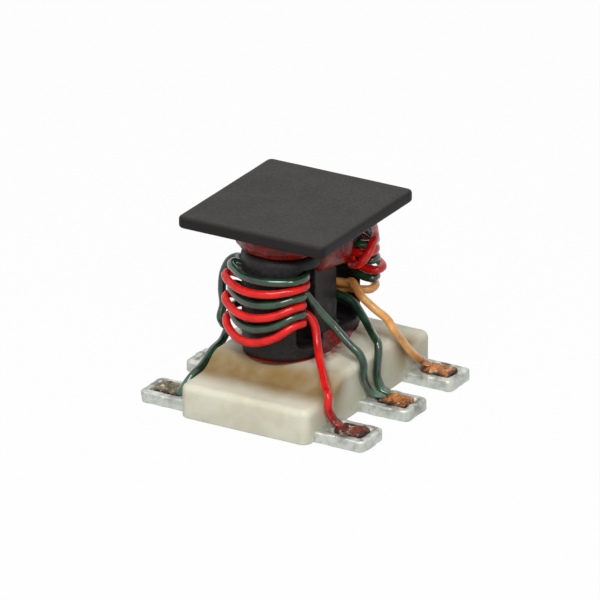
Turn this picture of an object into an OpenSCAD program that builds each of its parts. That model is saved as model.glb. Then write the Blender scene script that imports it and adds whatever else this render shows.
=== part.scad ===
// Surface-mount RF transformer: a two-window ferrite core wound with enamelled wire,
// glued on a moulded base with six flat leads and covered by a pick-up plate.
// Millimetres. The origin is under the middle of the part, on the plane of the lead undersides.
// +X points to the right-hand leads and -Y to the front.

/* [Base] */
// Length of the base, front to back
base_l = 3.58; // [3.4:0.02:4.2]
// Width of the base, between the two rows of leads
base_w = 2.14; // [2.0:0.02:2.4]
// Height of the end ledges
ledge_h = 0.54; // [0.4:0.01:0.64]
// Height of the raised middle
pedestal_h = 0.76; // [0.7:0.01:0.9]
// Length of the flat top of the raised middle
pedestal_l = 1.5; // [1.2:0.02:1.8]
// Length of each ramp from the raised middle down to a ledge
ramp_l = 0.42; // [0.2:0.01:0.5]
// Radius of the upright corners of the base
base_corner_r = 0.14; // [0.05:0.01:0.2]
// Radius of the top shoulders of the raised middle
shoulder_r = 0.1; // [0.04:0.01:0.15]

/* [Leads] */
// Distance between neighbouring leads
lead_pitch = 1.27; // [1.1:0.01:1.4]
// Width of a lead
lead_w = 0.64; // [0.5:0.01:0.7]
// Thickness of a lead
lead_t = 0.2; // [0.15:0.01:0.25]
// Distance over the tips of opposite leads
lead_span = 3.76; // [3.6:0.02:4.2]
// Length of a lead inside the base
lead_embed = 0.45; // [0.35:0.01:0.6]
// Radius of the corners at a lead's tip
lead_tip_r = 0.1; // [0.04:0.01:0.16]
// Width of the weld dimple
dimple_w = 0.4; // [0.34:0.01:0.46]
// Depth of the weld dimple
dimple_depth = 0.03; // [0.02:0.005:0.06]
// Height of a weld nugget above the lead
nugget_rise = 0.05; // [0.03:0.005:0.08]

/* [Core] */
// Height of the core
core_h = 1.57; // [1.5:0.01:1.8]
// Length of the core over its two round legs
core_l = 2.26; // [2.2:0.02:2.4]
// Diameter of the round legs
core_d = 1.2; // [1.14:0.01:1.26]
// Width of the waist between the legs
waist_w = 0.84; // [0.7:0.01:0.9]
// Length of the web between the two windows
web_l = 0.62; // [0.56:0.01:0.66]
// Height of the yokes above and below the windows
yoke_h = 0.18; // [0.14:0.01:0.2]
// Radius of the rounded top and bottom edges
core_edge_r = 0.1; // [0.05:0.01:0.12]
// Radius of the window corners
window_r = 0.12; // [0.05:0.01:0.16]
// Offset of the core from the middle of the base along X
core_x = -0.17; // [-0.25:0.01:0]
// Offset of the core from the middle of the base along Y
core_y = 0.15; // [0:0.01:0.2]

/* [Plate] */
// Width of the plate along X
plate_w = 2.43; // [2.2:0.01:2.6]
// Length of the plate along Y
plate_l = 2.63; // [2.4:0.01:2.8]
// Thickness of the plate
plate_t = 0.19; // [0.12:0.01:0.25]
// Radius of the plate's corners in plan
plate_corner_r = 0.1; // [0.07:0.01:0.2]
// Radius of the plate's edges
plate_edge_r = 0.05; // [0.02:0.005:0.06]
// Offset of the plate from the middle of the base along X
plate_x = -0.2; // [-0.25:0.01:0]
// Offset of the plate from the middle of the base along Y
plate_y = 0.05; // [0:0.01:0.1]

/* [Adhesive] */
// Thickness of the film under the core
film_t = 0.015; // [0.01:0.005:0.05]
// Thickness of the adhesive under the plate
glue_t = 0.35; // [0.2:0.01:0.4]
// How far the adhesive stands out past the core's legs where it meets the plate
glue_flare = 0.16; // [0.05:0.01:0.2]
// Height of the adhesive beads in the core's waist
bead_h = 0.2; // [0.1:0.01:0.3]
// How far the adhesive under the plate runs down the core's waist
collar_h = 0.24; // [0.1:0.01:0.3]
// How far that adhesive stands out past the core's legs
collar_flare = 0.05; // [0.02:0.01:0.06]

/* [Windings] */
// Diameter of the enamelled wire
wire_d = 0.125; // [0.11:0.005:0.13]
// Gap between neighbouring wires
wire_gap = 0.011; // [0.008:0.001:0.015]
// How far the turns stand off the legs
winding_slack = 0.1375; // [0.1:0.0025:0.16]

/* [Hidden] */

// Overrun of cuts past the faces that they open
cut_over = 0.2;
// Points along each rounded corner and along each ramp
corner_steps = 6;
ramp_steps = 10;
// Points along the round end of each leg
leg_steps = 24;
// Sides of a wire and curve points between its route points
wire_sides = 8;
curve_steps = 2;

// Heights of the stack
core_z = pedestal_h + film_t;
core_top = core_z + core_h;
plate_z = core_top + glue_t;

// Core in plan
core_r = core_d / 2;
leg_offset = core_l / 2 - core_r;
front_y = core_y - leg_offset;
back_y = core_y + leg_offset;

// Windows, wide enough for four columns of wire
wire_r = wire_d / 2;
wire_columns = 4;
window_slack = 0.048;
window_w = wire_columns * (wire_d + wire_gap) + window_slack;
window_h = core_h - 2 * yoke_h;
window_top = core_top - yoke_h;

// Leads and welds
right = 1;
left = -1;
front = -1;
middle = 0;
back = 1;
lead_tip_x = lead_span / 2;
lead_exposed = lead_span / 2 - base_w / 2;
weld_place_share = 0.54;
weld_x = base_w / 2 + lead_exposed * weld_place_share;
dimple_l_share = 0.617;
dimple_l = lead_exposed * dimple_l_share;
dimple_play = 0.01;
nugget_l = dimple_l - 2 * dimple_play;
nugget_w = dimple_w - 2 * dimple_play;
nugget_edge_x = weld_x - nugget_l / 2;
notch_w_share = 0.18;
notch_w = lead_w * notch_w_share;
notch_l_share = 0.3;
notch_l = lead_embed * notch_l_share;

// Columns of wire in a window, counted from the leg
wire_clearance = 2 * wire_gap;
column_margin = wire_r + wire_clearance;
column_pitch = (window_w - 2 * column_margin) / (wire_columns - 1);

// Heights of the turns from the top, with pitches as shares of the wire's diameter
top_turn_z = window_top - wire_r - wire_gap;
right_pitch = wire_d + wire_gap;
left_pitch_share = 1.36;
left_pitch = wire_d * left_pitch_share;
front_pitch_share = 1.55;
front_pitch = wire_d * front_pitch_share;
back_pitch_share = 1.136;
back_pitch = wire_d * back_pitch_share;
front_dip_share = 0.16;
front_dip = wire_d * front_dip_share;
back_dip_share = 0.2;
back_dip = wire_d * back_dip_share;

// Radius of the turns, of the snug ones, of the one that bulges, and the angles that their outer runs cover
turn_r = core_r + wire_r + winding_slack;
snug_share = 0.33;
snug_r = core_r + wire_r + winding_slack * snug_share;
bulge_share = 0.7;
bulge_r = turn_r + wire_d * bulge_share;
arc_from = 25;
arc_to = 155;
arc_step = 26;
snug_arc_to = 137;
snug_arc_step = 28;

// Where tails enter the windows, and where they climb the sides of the base
tail_reach_share = 0.75;
tail_reach = core_r * tail_reach_share;
side_x = base_w / 2 + wire_r + wire_clearance;

// General shapes

function mix(a, b, share) = a + (b - a) * share;
function between(a, b, shares) = [for (i = [0:2]) mix(a[i], b[i], shares[i])];
function arc_points(centre, r, from, to, steps) =
    [for (i = [0:steps]) centre + r * [cos(mix(from, to, i / steps)), sin(mix(from, to, i / steps))]];

// Corner points of a rectangle of width w and length l about the origin, with rounded corners
function rounded_rect(w, l, r) = concat(
    arc_points([w / 2 - r, l / 2 - r], r, 0, 90, corner_steps),
    arc_points([r - w / 2, l / 2 - r], r, 90, 180, corner_steps),
    arc_points([r - w / 2, r - l / 2], r, 180, 270, corner_steps),
    arc_points([w / 2 - r, r - l / 2], r, 270, 360, corner_steps)
);

// Solid through a stack of outlines with equal counts of points, each at its own height
module stack(outlines, heights) {
    count = len(outlines[0]);
    last = len(outlines) - 1;
    points = [for (k = [0:last]) for (p = outlines[k]) [p.x, p.y, heights[k]]];
    walls = [for (k = [0:last - 1]) for (i = [0:count - 1])
        let (j = (i + 1) % count)
        [k * count + i, (k + 1) * count + i, (k + 1) * count + j, k * count + j]];
    floor_face = [for (i = [0:count - 1]) i];
    roof_face = [for (i = [count - 1:-1:0]) last * count + i];
    polyhedron(points, concat([floor_face, roof_face], walls));
}

// Insets and heights of a slab whose top and bottom edges are rounded
edge_angles = [0, 30, 60, 90];
function edge_insets(r) = concat(
    [for (a = edge_angles) r * (1 - sin(a))],
    [for (i = [len(edge_angles) - 1:-1:0]) r * (1 - sin(edge_angles[i]))]
);
function edge_heights(z, h, r) = concat(
    [for (a = edge_angles) z + r * (1 - cos(a))],
    [for (i = [len(edge_angles) - 1:-1:0]) z + h - r * (1 - cos(edge_angles[i]))]
);

// Smooth curve through route points
function span(p, i) = norm(p[i + 1] - p[i]);
function slope(p, i) =
    i == 0 ? (p[1] - p[0]) / span(p, 0)
    : i == len(p) - 1 ? (p[i] - p[i - 1]) / span(p, i - 1)
    : ((p[i] - p[i - 1]) / span(p, i - 1) * span(p, i)
        + (p[i + 1] - p[i]) / span(p, i) * span(p, i - 1)) / (span(p, i - 1) + span(p, i));
function hermite(a, b, m, n, t) =
    (2 * t ^ 3 - 3 * t ^ 2 + 1) * a + (t ^ 3 - 2 * t ^ 2 + t) * m
    + (3 * t ^ 2 - 2 * t ^ 3) * b + (t ^ 3 - t ^ 2) * n;
function curve(p) = concat(
    [for (i = [0:len(p) - 2]) for (k = [0:curve_steps - 1])
        hermite(p[i], p[i + 1], slope(p, i) * span(p, i), slope(p, i + 1) * span(p, i), k / curve_steps)],
    [p[len(p) - 1]]
);

// Round wire swept along a route
function unit(v) = v / norm(v);
function heading(p, i) = unit(p[min(i + 1, len(p) - 1)] - p[max(i - 1, 0)]);
function side_of(t) = unit(cross(t, abs(t.z) < 0.9 ? [0, 0, 1] : [1, 0, 0]));
function sides_of(p) = [
    for (i = 0, t = heading(p, 0), s = side_of(t); i < len(p);
        i = i + 1, t = heading(p, min(i, len(p) - 1)), s = unit(s - t * (s * t))) s
];
module wire(route) {
    path = curve(route);
    across = sides_of(path);
    last = len(path) - 1;
    points = [for (i = [0:last]) for (j = [0:wire_sides - 1])
        let (t = heading(path, i), a = 360 * j / wire_sides)
        path[i] + wire_r * (cos(a) * across[i] + sin(a) * cross(t, across[i]))];
    walls = [for (i = [0:last - 1]) for (j = [0:wire_sides - 1])
        let (n = (j + 1) % wire_sides, k = i * wire_sides, m = (i + 1) * wire_sides)
        for (face = [[k + j, m + j, m + n], [k + j, m + n, k + n]]) face];
    first_cap = [for (j = [0:wire_sides - 1]) j];
    last_cap = [for (j = [wire_sides - 1:-1:0]) last * wire_sides + j];
    polyhedron(points, concat([first_cap, last_cap], walls));
}

// Base

// Height of the base's top at a distance from its middle
function smooth(t) = t * t * (3 - 2 * t);
function base_top(y) =
    let (t = (abs(y) - pedestal_l / 2) / ramp_l)
    mix(pedestal_h, ledge_h, smooth(max(0, min(1, t))));

base_half_profile = [for (i = [0:ramp_steps])
    let (y = pedestal_l / 2 + ramp_l * i / ramp_steps) [y, base_top(y)]];

module base_side_profile() {
    polygon(concat(
        [[base_l / 2, 0], [base_l / 2, ledge_h]],
        [for (i = [ramp_steps:-1:0]) base_half_profile[i]],
        [for (p = base_half_profile) [-p.x, p.y]],
        [[-base_l / 2, ledge_h], [-base_l / 2, 0]]
    ));
}

module base_end_profile() {
    shoulder_x = base_w / 2 - shoulder_r;
    shoulder_z = pedestal_h - shoulder_r;
    polygon(concat(
        [[-base_w / 2, 0], [base_w / 2, 0]],
        arc_points([shoulder_x, shoulder_z], shoulder_r, 0, 90, corner_steps),
        arc_points([-shoulder_x, shoulder_z], shoulder_r, 90, 180, corner_steps)
    ));
}

module header_base() {
    color("ivory")
        difference() {
            intersection() {
                linear_extrude(height = pedestal_h)
                    polygon(rounded_rect(base_w, base_l, base_corner_r));
                rotate([90, 0, 90])
                    linear_extrude(height = base_w, center = true)
                        base_side_profile();
                rotate([90, 0, 0])
                    linear_extrude(height = base_l, center = true)
                        base_end_profile();
            }
            for (side = [left, right])
                for (row = [front, middle, back])
                    lead_blank(side, row, cut_over);
        }
}

// Leads

function lead_y(row) = row * lead_pitch;

// Strip with a rounded tip and a pair of locking notches on its inner end
module lead_outline() {
    inner_x = base_w / 2 - lead_embed;
    notch_x = inner_x + notch_l;
    polygon(concat(
        [[inner_x, -lead_w / 2], [notch_x, -lead_w / 2]],
        [[notch_x, notch_w - lead_w / 2], [notch_x + notch_l, notch_w - lead_w / 2]],
        [[notch_x + notch_l, -lead_w / 2]],
        arc_points([lead_tip_x - lead_tip_r, lead_tip_r - lead_w / 2], lead_tip_r, 270, 360, corner_steps),
        arc_points([lead_tip_x - lead_tip_r, lead_w / 2 - lead_tip_r], lead_tip_r, 0, 90, corner_steps),
        [[notch_x + notch_l, lead_w / 2], [notch_x + notch_l, lead_w / 2 - notch_w]],
        [[notch_x, lead_w / 2 - notch_w], [notch_x, lead_w / 2], [inner_x, lead_w / 2]]
    ));
}

module lead_blank(side, row, drop) {
    translate([0, lead_y(row), -drop])
        mirror([side == left ? 1 : 0, 0, 0])
            linear_extrude(height = lead_t + drop)
                lead_outline();
}

module lead(side, row) {
    color("silver")
        difference() {
            lead_blank(side, row, 0);
            translate([side * weld_x, lead_y(row), lead_t - dimple_depth])
                linear_extrude(height = dimple_depth + cut_over)
                    polygon(rounded_rect(dimple_l, dimple_w, lead_tip_r / 2));
        }
}

// Core

// Plan of the core drawn in by an inset: two round legs joined by a narrower waist,
// or that just stop short of each other where they are wide
leg_meet_share = 0.96;
function core_outline(inset) =
    let (r = core_r - inset, w = waist_w / 2 - inset,
        a = min(acos(w / r), asin(min(1, leg_meet_share * leg_offset / r))))
    concat(
        arc_points([core_x, back_y], r, -a, 180 + a, leg_steps),
        arc_points([core_x, front_y], r, 180 - a, 360 + a, leg_steps)
    );

module core_window(side) {
    window_y = core_y + side * (web_l / 2 + window_w / 2);
    translate([core_x, window_y, core_z + core_h / 2])
        rotate([90, 0, 90])
            linear_extrude(height = core_d + cut_over, center = true)
                polygon(rounded_rect(window_w, window_h, window_r));
}

// Cut that keeps the web between the windows no wider than the waist
module web_relief(side) {
    depth = core_r + cut_over - waist_w / 2;
    translate([core_x + side * (waist_w / 2 + depth / 2), core_y, core_z + core_h / 2])
        rotate([90, 0, 90])
            linear_extrude(height = depth, center = true)
                polygon(rounded_rect(web_l + 2 * window_w, window_h, window_r));
}

module ferrite_core() {
    color("dimgray")
        difference() {
            stack(
                [for (inset = edge_insets(core_edge_r)) core_outline(inset)],
                edge_heights(core_z, core_h, core_edge_r)
            );
            core_window(front);
            core_window(back);
            web_relief(left);
            web_relief(right);
        }
}

// Adhesive

film_margin = 0.05;
bead_margin = 0.03;

// Plan of the adhesive beside the core's waist
module waist_fill(w, l, r) {
    difference() {
        translate([core_x, core_y])
            polygon(rounded_rect(w, l, r));
        polygon(core_outline(0));
    }
}

module core_adhesive() {
    color("firebrick") {
        translate([core_x, 0, pedestal_h])
            linear_extrude(height = film_t)
                polygon(rounded_rect(core_d + 2 * film_margin, pedestal_l - 2 * film_margin, core_r / 2));
        translate([0, 0, core_z])
            linear_extrude(height = bead_h)
                waist_fill(core_d - 2 * bead_margin, leg_offset, leg_offset / 3);
    }
}

// Widths of the adhesive past the legs as shares of its flare, from the core up to the plate
glue_width_shares = [-0.5, 0.1, 0.4, 0.55, 1];
glue_height_shares = [0, 0.18, 0.45, 0.75, 1];
// Collar beside the waist, as shares of the core's length, its leg radius and the adhesive's thickness
collar_l_share = 0.44;
collar_r_share = 0.3;
collar_lap_share = 0.5;

module plate_adhesive() {
    outlines = [for (share = glue_width_shares)
        let (grow = share * glue_flare)
        [for (p = rounded_rect(core_d + 2 * grow, core_l + 2 * grow, core_r + grow)) p + [core_x, core_y]]];
    color("crimson") {
        stack(outlines, [for (share = glue_height_shares) mix(core_top, plate_z, share)]);
        translate([0, 0, core_top - collar_h])
            linear_extrude(height = collar_h + glue_t * collar_lap_share)
                waist_fill(core_d + 2 * collar_flare, core_l * collar_l_share, core_r * collar_r_share);
    }
}

// Plate

module top_plate() {
    color("darkslategray")
        translate([plate_x, plate_y, 0])
            stack(
                [for (inset = edge_insets(plate_edge_r))
                    rounded_rect(plate_w - 2 * inset, plate_l - 2 * inset, plate_corner_r - inset)],
                edge_heights(plate_z, plate_t, plate_edge_r)
            );
}

// Windings

// Middle of a column of wire in the window beside a leg
function column_y(leg, column) =
    core_y + leg * (web_l / 2 + window_w - column_margin - column * column_pitch);
leg_column = 0;
exit_column = 1;
tail_column = 2;
web_column = 3;

// Heights of the turns, counted from the top, where they enter the windows and at the front
function right_z(turn) = top_turn_z - turn * right_pitch;
function left_z(turn) = top_turn_z - turn * left_pitch;
function front_z(turn) = top_turn_z - front_dip - turn * front_pitch;
function back_z(turn) = top_turn_z - turn * back_pitch;

// Straight run through a window from its right mouth to its left mouth
mouth_share = 0.7;
function pass(leg, column, z_right, z_left, reach = core_r) =
    [for (run = [reach, reach * mouth_share, 0, -core_r * mouth_share, -core_r])
        [core_x + run, column_y(leg, column), mix(z_left, z_right, (run + core_r) / (reach + core_r))]];

// Loose outer run of a turn round a leg from the left mouth to the right mouth
function turn_points(leg, r_from, r_to, z_from, z_mid, z_to, to = arc_to, step = arc_step) =
    let (leg_y = leg == front ? front_y : back_y)
    [for (a = [arc_from:step:to])
        let (share = (a - arc_from) / (to - arc_from),
            r = mix(r_from, r_to, share),
            dip = z_mid - (z_from + z_to) / 2)
        [core_x - r * cos(a), leg_y + leg * r * sin(a), mix(z_from, z_to, share) + dip * sin(180 * share)]];
function front_turn(turn, r = turn_r) =
    turn_points(front, r, snug_r, left_z(turn), front_z(turn), right_z(turn), snug_arc_to, snug_arc_step);
function back_turn(turn, r = turn_r) =
    turn_points(back, r, r, back_z(turn), back_z(turn) - back_dip, back_z(turn));

// Passes joined by turns, with a rounded bend at each end of a turn
bend_shares = [0.07, 0.67, 0.5];
snug_bend_shares = [-0.62, 0.52, 0.5];
function bent_turn(before, turn, after, end_shares) = concat(
    [between(turn[0], before[len(before) - 1], bend_shares)],
    turn,
    [between(turn[len(turn) - 1], after[0], end_shares)]
);
function winding(passes, turns, end_shares = bend_shares) = [for (i = [0:len(turns)])
    for (p = concat(passes[i], i < len(turns) ? bent_turn(passes[i], turns[i], passes[i + 1], end_shares) : []))
        p];

// Ends of a wire: its place beside a weld, on the base's shoulder, and where it enters a window
pair_share = 0.75;
function weld_end(side, row, place) = [
    side * (nugget_edge_x - wire_gap / 2),
    lead_y(row) + place * wire_d * pair_share,
    lead_t + wire_r + wire_gap / 2
];
function shoulder(weld, share) =
    let (y = weld.y + share * lead_pitch)
    [weld.x > 0 ? side_x : -side_x, y, base_top(y) + wire_r + wire_clearance];
function right_mouth(leg, column, z) = [core_x + tail_reach, column_y(leg, column), z];
function left_mouth(leg, column, z) = [core_x - core_r, column_y(leg, column), z];

// Tail from a weld up the side of the base to its shoulder, then over to a window.
// Along X and Z the shares are of the way, and along Y of the lead pitch from the weld or the window.
function place(a, b, home, s) = [mix(a.x, b.x, s.x), home.y + s.y * lead_pitch, mix(a.z, b.z, s.z)];
function tail(weld, mouth, shoulder_share, climb_shares, run_shares) =
    let (turn_over = shoulder(weld, shoulder_share))
    concat(
        [weld],
        [for (s = climb_shares) place(weld, turn_over, weld, s)],
        [turn_over],
        [for (s = run_shares) place(turn_over, mouth, mouth, s)]
    );
function reversed(p) = [for (i = [len(p) - 1:-1:0]) p[i]];

// Heights at which tails pass the windows' mouths, counted in turns from the top
red_tail_turn = 4.6;
red_tail_z = right_z(red_tail_turn);
green_front_tail_turn = 2.3;
green_front_tail_z = right_z(green_front_tail_turn);
green_back_tail_turn = 5.4;
green_back_tail_z = right_z(green_back_tail_turn);
gold_tail_turn = 4.3;
gold_tail_z = right_z(gold_tail_turn);
gold_exit_turn = 6;
gold_exit_z = back_z(gold_exit_turn);
red_front_exit_turn = 1.35;
red_front_exit_z = left_z(red_front_exit_turn);
red_back_exit_turn = 1.3;
red_back_exit_z = back_z(red_back_exit_turn);
green_front_exit_turn = 0.3;
green_front_exit_z = left_z(green_front_exit_turn);
green_back_exit_turn = 0.2;
green_back_exit_z = back_z(green_back_exit_turn);

// Green wire of the front leg
green_front_tail_shoulder_share = -0.21;
green_front_tail_climb_shares = [[0.58, -0.02, 0.04], [0.95, -0.07, 0.19], [1, -0.18, 0.58]];
green_front_tail_run_shares = [[0.06, 0.13, 0.1], [0.2, 0.11, 0.22], [0.5, 0.08, 0.5], [0.75, 0.04, 0.74],
    [0.89, 0.02, 0.89]];
green_front_exit_shoulder_share = 0.85;
green_front_exit_climb_shares = [[0.2, 0.04, 0.09], [0.76, 0.18, 0.32], [1, 0.28, 0.41], [1, 0.51, 0.65],
    [1, 0.78, 0.8]];
green_front_exit_run_shares = [[0.04, 0.08, 0.1], [0.04, 0.02, 0.21], [0.04, 0.08, 0.34],
    [-0.01, 0.08, 0.55], [0.06, 0.1, 0.8], [0.35, 0.11, 0.96], [0.66, 0.11, 1.01]];

module green_front_wire() {
    way_in = right_mouth(front, exit_column, green_front_tail_z);
    way_out = left_mouth(front, exit_column, green_front_exit_z);
    color("darkgreen")
        wire(concat(
            tail(weld_end(right, middle, front), way_in, green_front_tail_shoulder_share,
                green_front_tail_climb_shares, green_front_tail_run_shares),
            winding(
                [
                    pass(front, exit_column, green_front_tail_z, left_z(4), tail_reach),
                    pass(front, leg_column, right_z(4), left_z(2), tail_reach),
                    pass(front, leg_column, right_z(2), left_z(0), tail_reach),
                    pass(front, exit_column, right_z(0), green_front_exit_z, tail_reach)
                ],
                [front_turn(4, snug_r), front_turn(2, snug_r), front_turn(0, snug_r)],
                snug_bend_shares
            ),
            reversed(tail(weld_end(left, front, front), way_out, green_front_exit_shoulder_share,
                green_front_exit_climb_shares, green_front_exit_run_shares))
        ));
}

// Red wire: after the front leg it loops round the back of the back leg and drops into its window
red_tail_shoulder_share = -0.05;
red_tail_climb_shares = [[0.58, 0.01, 0.06], [0.95, -0.02, 0.31], [1, -0.06, 0.68]];
red_tail_run_shares = [[0.18, -0.49, 0.09], [0.39, -0.31, 0.22], [0.58, -0.16, 0.36], [0.73, -0.03, 0.57],
    [0.82, 0.02, 0.8], [0.9, 0.02, 0.93]];
red_exit_shoulder_share = -0.15;
red_exit_climb_shares = [[0.3, -0.04, 0.25]];
red_exit_run_shares = [[0.01, 0.02, 0.28], [0.06, -0.08, 0.57], [0.27, -0.13, 0.83], [0.61, -0.12, 0.95]];
transit_rise_share = 1.15;
transit_z = top_turn_z + wire_d * transit_rise_share;
transit_shares = [[0.5, 0.19, 0.02], [1, 0.35, 0.26], [1.15, 0.6, 0.64], [1.1, 0.81, 0.91]];
drop_shares = [[-0.32, 0.81, 0], [-0.5, 1.71, 0.08], [-0.5, 2.43, 0.36], [-0.14, 2.66, 0.69],
    [0.36, 2.15, 0.92], [0.68, 1.86, 0.98]];

module red_wire() {
    way_in = right_mouth(front, exit_column, red_tail_z);
    front_exit = left_mouth(front, exit_column, red_front_exit_z);
    loop = [for (a = [0:arc_step:arc_to + 1])
        [core_x - turn_r * cos(a), back_y + turn_r * sin(a), transit_z]];
    loop_end = loop[len(loop) - 1];
    drop_mouth = right_mouth(back, exit_column, back_z(2));
    back_exit = left_mouth(back, exit_column, red_back_exit_z);
    color("red")
        wire(concat(
            tail(weld_end(right, front, middle), way_in, red_tail_shoulder_share,
                red_tail_climb_shares, red_tail_run_shares),
            winding(
                [
                    pass(front, exit_column, red_tail_z, left_z(5), tail_reach),
                    pass(front, leg_column, right_z(5), left_z(3), tail_reach),
                    pass(front, leg_column, right_z(3), left_z(1), tail_reach),
                    pass(front, exit_column, right_z(1), red_front_exit_z, tail_reach)
                ],
                [front_turn(5), front_turn(3), front_turn(1)],
                snug_bend_shares
            ),
            [for (s = transit_shares) between(front_exit, loop[0], s)],
            loop,
            [for (s = drop_shares) between(loop_end, drop_mouth, s)],
            winding(
                [
                    pass(back, exit_column, back_z(2), back_z(3), tail_reach),
                    pass(back, leg_column, back_z(3), back_z(1)),
                    pass(back, exit_column, back_z(1), red_back_exit_z)
                ],
                [back_turn(3, bulge_r), back_turn(1)]
            ),
            reversed(tail(weld_end(left, back, front), back_exit, red_exit_shoulder_share,
                red_exit_climb_shares, red_exit_run_shares))
        ));
}

// Green wire of the back leg
green_back_tail_shoulder_share = 0;
green_back_tail_climb_shares = [[0.58, 0, 0.04], [0.95, -0.01, 0.19], [1, -0.03, 0.58]];
green_back_tail_run_shares = [[0.04, -0.32, 0.17], [0.15, -0.26, 0.23], [0.33, -0.14, 0.3],
    [0.57, -0.05, 0.6], [0.77, 0, 0.85], [0.9, 0, 0.97]];
green_back_exit_shoulder_share = -0.05;
green_back_exit_climb_shares = [[0.11, 0, 0.26]];
green_back_exit_run_shares = [[-0.17, 0.29, 0.26], [-0.25, 0.22, 0.5], [-0.14, 0.07, 0.76],
    [0.06, -0.06, 0.91], [0.45, -0.13, 0.98]];

module green_back_wire() {
    way_in = right_mouth(back, web_column, green_back_tail_z);
    way_out = left_mouth(back, exit_column, green_back_exit_z);
    color("darkgreen")
        wire(concat(
            tail(weld_end(right, middle, back), way_in, green_back_tail_shoulder_share,
                green_back_tail_climb_shares, green_back_tail_run_shares),
            winding(
                [
                    pass(back, web_column, green_back_tail_z, back_z(4), tail_reach),
                    pass(back, leg_column, back_z(4), back_z(2)),
                    pass(back, leg_column, back_z(2), back_z(0)),
                    pass(back, exit_column, back_z(0), green_back_exit_z)
                ],
                [back_turn(4), back_turn(2), back_turn(0)]
            ),
            reversed(tail(weld_end(left, back, back), way_out, green_back_exit_shoulder_share,
                green_back_exit_climb_shares, green_back_exit_run_shares))
        ));
}

// Gold wire: one turn on the back leg, then along the left side of the base
gold_tail_shoulder_share = -0.46;
gold_tail_climb_shares = [[0.35, 0, 0.02], [0.55, -0.07, 0.12], [0.75, -0.31, 0.59]];
gold_tail_run_shares = [[0.01, -0.11, 0.23], [0.1, -0.12, 0.43], [0.31, -0.18, 0.69], [0.6, -0.18, 0.96],
    [0.75, -0.1, 1.05], [0.89, -0.02, 1.07]];
gold_exit_shoulder_share = 1.29;
gold_exit_climb_shares = [[0.58, 0.1, 0.03], [0.95, 0.3, 0.06], [1, 0.69, 0.16], [1, 1.08, 0.4]];
gold_exit_run_shares = [[0.3, -0.18, 0.55], [0.66, -0.12, 0.9]];

module gold_wire() {
    way_in = right_mouth(back, tail_column, gold_tail_z);
    way_out = left_mouth(back, exit_column, gold_exit_z);
    color("peru")
        wire(concat(
            tail(weld_end(right, back, middle), way_in, gold_tail_shoulder_share,
                gold_tail_climb_shares, gold_tail_run_shares),
            winding(
                [
                    pass(back, tail_column, gold_tail_z, back_z(5), tail_reach),
                    pass(back, exit_column, back_z(5), gold_exit_z)
                ],
                [back_turn(5)]
            ),
            reversed(tail(weld_end(left, front, back), way_out, gold_exit_shoulder_share,
                gold_exit_climb_shares, gold_exit_run_shares))
        ));
}

// Flattened and fused wire ends in the dimples
module weld(side, row, tint) {
    floor_z = lead_t - dimple_depth;
    color(tint)
        translate([side * weld_x, lead_y(row), 0])
            stack(
                [for (inset = [0, 0, nugget_rise]) rounded_rect(nugget_l - 2 * inset,
                    nugget_w - 2 * inset, nugget_w / 3)],
                [floor_z, lead_t, lead_t + nugget_rise]
            );
}

header_base();
lead(right, front);  // lead_front_right
lead(right, middle);  // lead_middle_right
lead(right, back);  // lead_back_right
lead(left, front);  // lead_front_left
lead(left, middle);  // lead_middle_left
lead(left, back);  // lead_back_left
ferrite_core();
core_adhesive();
top_plate();
plate_adhesive();
red_wire();
green_front_wire();
green_back_wire();
gold_wire();
weld(right, front, "sienna");  // weld_front_right
weld(right, middle, "chocolate");  // weld_middle_right
weld(right, back, "chocolate");  // weld_back_right
weld(left, front, "tan");  // weld_front_left
weld(left, back, "chocolate");  // weld_back_left
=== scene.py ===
"""Surface-mount RF transformer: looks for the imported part, in metres, in the part's own frame.

Shapes are worked out in millimetres, with +X to the right-hand leads and -Y to the front, and scaled once.
"""

from math import acos, atan2, cos, degrees, hypot, pi, radians, sin

import bmesh
import bpy
from mathutils import Matrix, Vector, noise


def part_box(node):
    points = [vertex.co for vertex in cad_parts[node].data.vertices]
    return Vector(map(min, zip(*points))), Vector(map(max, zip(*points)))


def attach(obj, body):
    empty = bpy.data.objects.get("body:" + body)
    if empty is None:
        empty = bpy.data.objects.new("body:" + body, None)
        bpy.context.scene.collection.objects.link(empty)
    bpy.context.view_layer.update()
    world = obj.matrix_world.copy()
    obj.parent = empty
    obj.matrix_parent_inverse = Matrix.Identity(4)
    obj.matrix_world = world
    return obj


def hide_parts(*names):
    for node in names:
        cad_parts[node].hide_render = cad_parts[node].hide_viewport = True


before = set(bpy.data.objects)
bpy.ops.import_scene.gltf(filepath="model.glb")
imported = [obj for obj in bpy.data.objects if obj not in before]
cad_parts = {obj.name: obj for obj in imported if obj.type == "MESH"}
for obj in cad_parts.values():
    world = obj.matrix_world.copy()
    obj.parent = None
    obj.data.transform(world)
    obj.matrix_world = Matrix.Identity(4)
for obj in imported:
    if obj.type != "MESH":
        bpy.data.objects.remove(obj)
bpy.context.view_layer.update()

MM = 0.001
RIGHT, LEFT = 1, -1
FRONT, MIDDLE, BACK = -1, 0, 1
ROWS = {FRONT: "front", MIDDLE: "middle", BACK: "back"}
SIDES = {RIGHT: "right", LEFT: "left"}


def node_box(name):
    """Lowest and highest corner of a CAD node in millimetres."""
    low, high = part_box(name)
    return Vector(low) / MM, Vector(high) / MM


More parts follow.
